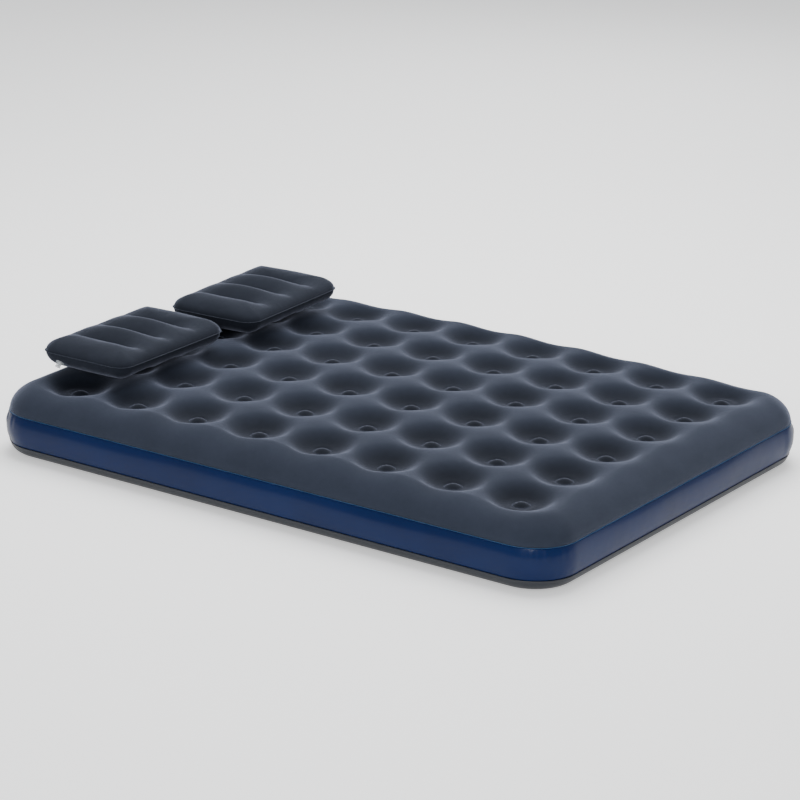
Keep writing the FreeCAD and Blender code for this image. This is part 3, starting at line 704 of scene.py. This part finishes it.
def run_tree(piece, tree, sockets, values):
    modifier = piece.modifiers.new("nodes", "NODES")
    modifier.node_group = tree
    for label, value in values.items():
        modifier[sockets[label]] = value
    bake_modifiers(piece)
    piece.data.polygons.foreach_set("use_smooth", [True] * len(piece.data.polygons))
    return piece


def bead_tree(material):
    """Sweeps a flat oval bead along the loops of edges that it is given."""
    tree, given, result, sockets = geometry_tree("seam_bead", {"Width": 0.004, "Thickness": 0.001})
    to_curve = tree.nodes.new("GeometryNodeMeshToCurve")
    tree.links.new(given.outputs[0], to_curve.inputs["Mesh"])
    normal = tree.nodes.new("GeometryNodeSetCurveNormal")
    normal.mode = "Z_UP"
    tree.links.new(to_curve.outputs[0], normal.inputs["Curve"])
    circle = tree.nodes.new("GeometryNodeCurvePrimitiveCircle")
    circle.inputs["Resolution"].default_value = 10
    circle.inputs["Radius"].default_value = 0.5
    size = tree.nodes.new("ShaderNodeCombineXYZ")
    tree.links.new(given.outputs["Width"], size.inputs["X"])
    tree.links.new(given.outputs["Thickness"], size.inputs["Y"])
    size.inputs["Z"].default_value = 1
    scale = tree.nodes.new("GeometryNodeTransform")
    tree.links.new(circle.outputs["Curve"], scale.inputs["Geometry"])
    tree.links.new(size.outputs[0], scale.inputs["Scale"])
    sweep = tree.nodes.new("GeometryNodeCurveToMesh")
    tree.links.new(normal.outputs[0], sweep.inputs["Curve"])
    tree.links.new(scale.outputs[0], sweep.inputs["Profile Curve"])
    end_tree(tree, sweep.outputs[0], result, material)
    return tree, sockets


def loop_piece(name, points):
    count = len(points)
    return mesh_piece(name, points, [], edges=[(k, (k + 1) % count) for k in range(count)])


def bed_seam(name, height, material):
    """Weld flange that runs round the bed at a seam."""
    path, outward, _ = seam_outline(SEAM_STEP)
    path = path + outward * (SEAM_OUT - SEAM_WIDTH / 2)
    points = np.column_stack([path, np.full(len(path), height)])
    tree, sockets = bead_tree(material)
    piece = run_tree(loop_piece(name, points), tree, sockets,
                     {"Width": SEAM_WIDTH, "Thickness": SEAM_THICK})
    return place(piece, "side_band")


def ring_tree(material):
    """Sets a pressed ring on every point that it is given."""
    tree, given, result, sockets = geometry_tree("weld_ring", {"Radius": 0.026, "Bead": 0.0008})
    loop = tree.nodes.new("GeometryNodeCurvePrimitiveCircle")
    loop.inputs["Resolution"].default_value = 40
    tree.links.new(given.outputs["Radius"], loop.inputs["Radius"])
    bead = tree.nodes.new("GeometryNodeCurvePrimitiveCircle")
    bead.inputs["Resolution"].default_value = 6
    tree.links.new(given.outputs["Bead"], bead.inputs["Radius"])
    sweep = tree.nodes.new("GeometryNodeCurveToMesh")
    tree.links.new(loop.outputs["Curve"], sweep.inputs["Curve"])
    tree.links.new(bead.outputs["Curve"], sweep.inputs["Profile Curve"])
    to_points = tree.nodes.new("GeometryNodeMeshToPoints")
    tree.links.new(given.outputs[0], to_points.inputs["Mesh"])
    spread = tree.nodes.new("GeometryNodeInstanceOnPoints")
    tree.links.new(to_points.outputs[0], spread.inputs["Points"])
    tree.links.new(sweep.outputs[0], spread.inputs["Instance"])
    end_tree(tree, spread.outputs[0], result, material)
    return tree, sockets


def weld_rings(finish):
    """The ring that a coil's weld leaves in the flock, round the dome's foot."""
    x, y = (grid.ravel() for grid in np.meshgrid(WELDS_X, WELDS_Y, indexing="ij"))
    z, _ = top_height(x, y)
    points = np.column_stack([x, y, z - DOME_RISE + WELD_GROOVE * RING_LIFT])
    tree, sockets = ring_tree(finish["weld_flock"])
    piece = run_tree(mesh_piece("coil_weld_rings", points, []), tree, sockets,
                     {"Radius": DOME_RADIUS + RING_BEAD, "Bead": RING_BEAD})
    return place(piece, "top_sheet")


# ---------------------------------------------------------------- pillows
def pillow_frame(number):
    """Centre of the pillow's seam plane, half its thickness and the matrix of its turn."""
    low, high = span(f"pillow_{number}_top")
    turn = PILLOW_TURNS[number]
    centre = np.array([(low[0] + high[0]) / 2, (low[1] + high[1]) / 2, low[2]])
    spin = np.array([[math.cos(turn), math.sin(turn)], [-math.sin(turn), math.cos(turn)]])
    return centre, float(high[2] - low[2]), spin


def pillow_grid():
    """Plan of one half: grid lines that meet the grooves, corners rounded."""
    half_x, half_y = PILLOW_HALF_WIDTH, PILLOW_HALF_LENGTH
    count_x = 2 * int(round(half_x / PILLOW_STEP))
    count_y = CHANNELS * 2 * int(round(half_y / CHANNELS / PILLOW_STEP))
    x, y = np.meshgrid(np.linspace(-half_x, half_x, count_x + 1),
                       np.linspace(-half_y, half_y, count_y + 1), indexing="ij")
    return round_corners(x, y, half_x, half_y, PILLOW_CORNER)


def pillow_inside(x, y):
    """How far inside the pillow's seam a point lies, in plan."""
    qx = np.abs(x) - (PILLOW_HALF_WIDTH - PILLOW_CORNER)
    qy = np.abs(y) - (PILLOW_HALF_LENGTH - PILLOW_CORNER)
    outside = np.hypot(np.maximum(qx, 0), np.maximum(qy, 0)) + np.minimum(np.maximum(qx, qy), 0)
    return np.maximum(PILLOW_CORNER - outside, 0)


def pillow_rise(x, y, half_thick, roll):
    """Start height of a half over its seam, and which points are welded to a web."""
    share = np.clip(pillow_inside(x, y) / roll, 0, 1)
    dome = half_thick * np.sqrt(1 - (1 - share) ** 2)
    channel = 2 * PILLOW_HALF_LENGTH / CHANNELS
    lines = (np.arange(1, CHANNELS) - CHANNELS / 2) * channel
    across = np.min([np.abs(y - line) for line in lines], axis=0)
    run = smooth((PILLOW_HALF_WIDTH - GROOVE_END + GROOVE_FADE - np.abs(x)) / (2 * GROOVE_FADE))
    arch = 1 - np.clip(across / (channel / 2), 0, 1)
    valley = (half_thick - GROOVE_RISE) * arch ** GROOVE_SHARPNESS * run
    held = (across < GROOVE_SPREAD) & (np.abs(x) < PILLOW_HALF_WIDTH - GROOVE_END)
    return np.maximum(dome - valley * smooth(share / GROOVE_FULL), GROOVE_LEAST * dome), held


def settle(piece, pinned):
    """Inflates the piece as cloth, holding the pinned points, and keeps the result."""
    pins = piece.vertex_groups.new(name="held")
    pins.add([int(k) for k in np.flatnonzero(pinned)], 1.0, "REPLACE")
    cloth = piece.modifiers.new("air", "CLOTH")
    film = cloth.settings
    film.vertex_group_mass = "held"
    film.quality = 6
    film.mass = 0.25
    film.air_damping = 4
    film.tension_stiffness = film.compression_stiffness = 40
    film.shear_stiffness = 20
    film.bending_stiffness = 1.5
    film.use_pressure = True
    film.uniform_pressure_force = 2.2
    film.shrink_min = -0.002
    film.effector_weights.gravity = 0
    cloth.collision_settings.use_collision = False
    cloth.point_cache.frame_end = PUFF_FRAMES
    scene = bpy.context.scene
    scene.frame_end = max(scene.frame_end, PUFF_FRAMES)
    for number in range(1, PUFF_FRAMES + 1):
        scene.frame_set(number)
    bake_modifiers(piece)
    scene.frame_set(1)
    piece.vertex_groups.clear()


def seat_stem(number, points, spin):
    """Presses the sheet flat under the stem's flange, which leans out of the near short side."""
    stem = points_of(frame["nodes"][f"pillow_{number}_valve_stem"])
    out = np.array([*(np.array([0, -math.cos(STEM_TILT)]) @ spin), -math.sin(STEM_TILT)])
    along = stem @ out
    foot = (stem.min(axis=0) + stem.max(axis=0)) / 2
    foot = foot + out * (along.min() + STEM_TAIL - foot @ out)
    offset = points - foot
    height = offset @ out
    radius = np.linalg.norm(offset - height[:, None] * out, axis=1)
    hold = 1 - smooth((radius - STEM_SEAT) / STEM_SEAT)
    hold = np.where(np.abs(height) < 2 * STEM_SEAT, hold, 0)
    return points - (hold * (height + STEM_LIFT))[:, None] * out


def cushion(number, finish):
    """A closed pillow: two flocked halves welded round the edge and along three webs."""
    centre, half_thick, spin = pillow_frame(number)
    x, y = pillow_grid()
    rise, weld = pillow_rise(x, y, half_thick, PILLOW_ROLL)
    drop, _ = pillow_rise(x, y, half_thick, UNDER_ROLL)
    rows, columns = x.shape
    rim_loop = rim_order(rows, columns)
    rim = np.zeros(rows * columns, bool)
    rim[rim_loop] = True
    upper = np.stack([x, y, np.where(rim.reshape(x.shape), 0, rise)], -1).reshape(-1, 3)
    inner = np.flatnonzero(~rim)
    below = np.arange(rows * columns)
    below[inner] = rows * columns + np.arange(len(inner))
    points = np.vstack([upper, np.stack([x, y, -drop], -1).reshape(-1, 3)[inner]])
    faces = grid_faces(rows, columns)
    faces += [tuple(int(below[k]) for k in face[::-1]) for face in grid_faces(rows, columns)]
    piece = mesh_piece(f"pillow_{number}_cushion", points, faces, finish["pillow_flock"])
    settle(piece, np.concatenate([rim | weld.ravel(), weld.ravel()[inner]]))
    moved = points_of(piece) - points
    length = np.maximum(np.linalg.norm(moved, axis=1, keepdims=True), 1e-9)
    points = points + moved * np.minimum(1, PILLOW_PUFF / length)
    points[:, 2] = np.clip(points[:, 2], -half_thick, half_thick + CREST_PROUD)
    points = np.column_stack([points[:, :2] @ spin, points[:, 2]]) + centre
    points = seat_stem(number, points, spin)
    bed, _ = top_height(points[:, 0], points[:, 1])
    points[:, 2] = np.maximum(points[:, 2], bed + PILLOW_GAP)
    set_points(piece, points)
    replaced = [f"pillow_{number}_{part}" for part in ("top", "bottom", "webs")]
    place(piece, f"pillow_{number}_top", *replaced)
    return points[rim_loop], centre


def rim_order(rows, columns):
    """Indices of a grid's outer points, in order round it."""
    index = np.arange(rows * columns).reshape(rows, columns)
    return np.concatenate([index[0, :-1], index[:-1, -1], index[-1, :0:-1], index[:0:-1, 0]])


def pillow_seam(number, edge, centre, finish):
    """Flat weld flange outside the pillow's edge."""
    outward = edge - centre
    outward[:, 2] = 0
    outward /= np.linalg.norm(outward, axis=1, keepdims=True)
    tree, sockets = bead_tree(finish["pillow_flock"])
    loop = loop_piece(f"pillow_{number}_seam", edge + outward * PILLOW_SEAM_WIDTH / 3)
    piece = run_tree(loop, tree, sockets,
                     {"Width": PILLOW_SEAM_WIDTH, "Thickness": PILLOW_SEAM_THICK})
    return place(piece, f"pillow_{number}_top")


# ---------------------------------------------------------------- studio
def pale_floor():
    material = bpy.data.materials.new("pale_floor")
    material.use_nodes = True
    shader = material.node_tree.nodes["Principled BSDF"]
    shader.inputs["Base Color"].default_value = (0.90, 0.90, 0.90, 1)
    shader.inputs["Roughness"].default_value = 0.9
    shader.inputs["Emission Color"].default_value = (1, 1, 1, 1)
    shader.inputs["Emission Strength"].default_value = FLOOR_GLOW
    corners = [(side_x * FLOOR_HALF, side_y * FLOOR_HALF, -FLOOR_DROP)
               for side_x, side_y in ((-1, -1), (1, -1), (1, 1), (-1, 1))]
    mesh_piece("floor", corners, [(0, 1, 2, 3)], material)


def studio():
    """Pale floor, soft sky and four soft lamps."""
    pale_floor()
    scene = bpy.context.scene
    world = bpy.data.worlds.new("studio")
    world.use_nodes = True
    sky = world.node_tree.nodes["Background"]
    sky.inputs["Color"].default_value = SKY_COLOUR
    sky.inputs["Strength"].default_value = SKY_STRENGTH
    scene.world = world
    for name, spot, aim, width, power in LAMPS:
        light = bpy.data.lights.new(name, "AREA")
        light.shape = "DISK"
        light.size = width
        light.energy = power
        lamp = bpy.data.objects.new(name, light)
        lamp.location = spot
        lamp.rotation_euler = (Vector(aim) - Vector(spot)).to_track_quat("-Z", "Y").to_euler()
        scene.collection.objects.link(lamp)


def camera():
    azimuth, elevation = math.radians(CAMERA_AZIMUTH), math.radians(CAMERA_ELEVATION)
    back = Vector((math.sin(azimuth) * math.cos(elevation),
                   -math.cos(azimuth) * math.cos(elevation), math.sin(elevation)))
    lens = bpy.data.cameras.new("camera")
    lens.lens = CAMERA_LENS
    lens.sensor_width = CAMERA_SENSOR
    eye = bpy.data.objects.new("camera", lens)
    eye.location = CAMERA_TARGET + back * CAMERA_DISTANCE
    turn = (-back).to_track_quat("-Z", "Y")
    eye.rotation_mode = "QUATERNION"
    eye.rotation_quaternion = turn @ Quaternion((0, 0, 1), math.radians(CAMERA_ROLL))
    bpy.context.scene.collection.objects.link(eye)
    bpy.context.scene.camera = eye


def main():
    finish = finishes()
    camera()
    studio()
    top_sheet(finish)
    side_band(finish)
    bottom_sheet(finish)
    weld_rings(finish)
    bed_seam("upper_seam", UPPER_SEAM, finish["seam_vinyl"])
    bed_seam("lower_seam", LOWER_SEAM, finish["lower_seam_shaded_vinyl"])
    for number in (1, 2):
        edge, centre = cushion(number, finish)
        pillow_seam(number, edge, centre, finish)
    for node, piece in frame["nodes"].items():
        if not piece.hide_render:      # the design's own pieces that still show
            piece.data.materials.clear()
            piece.data.materials.append(finish[SLOTS[node]])


main()
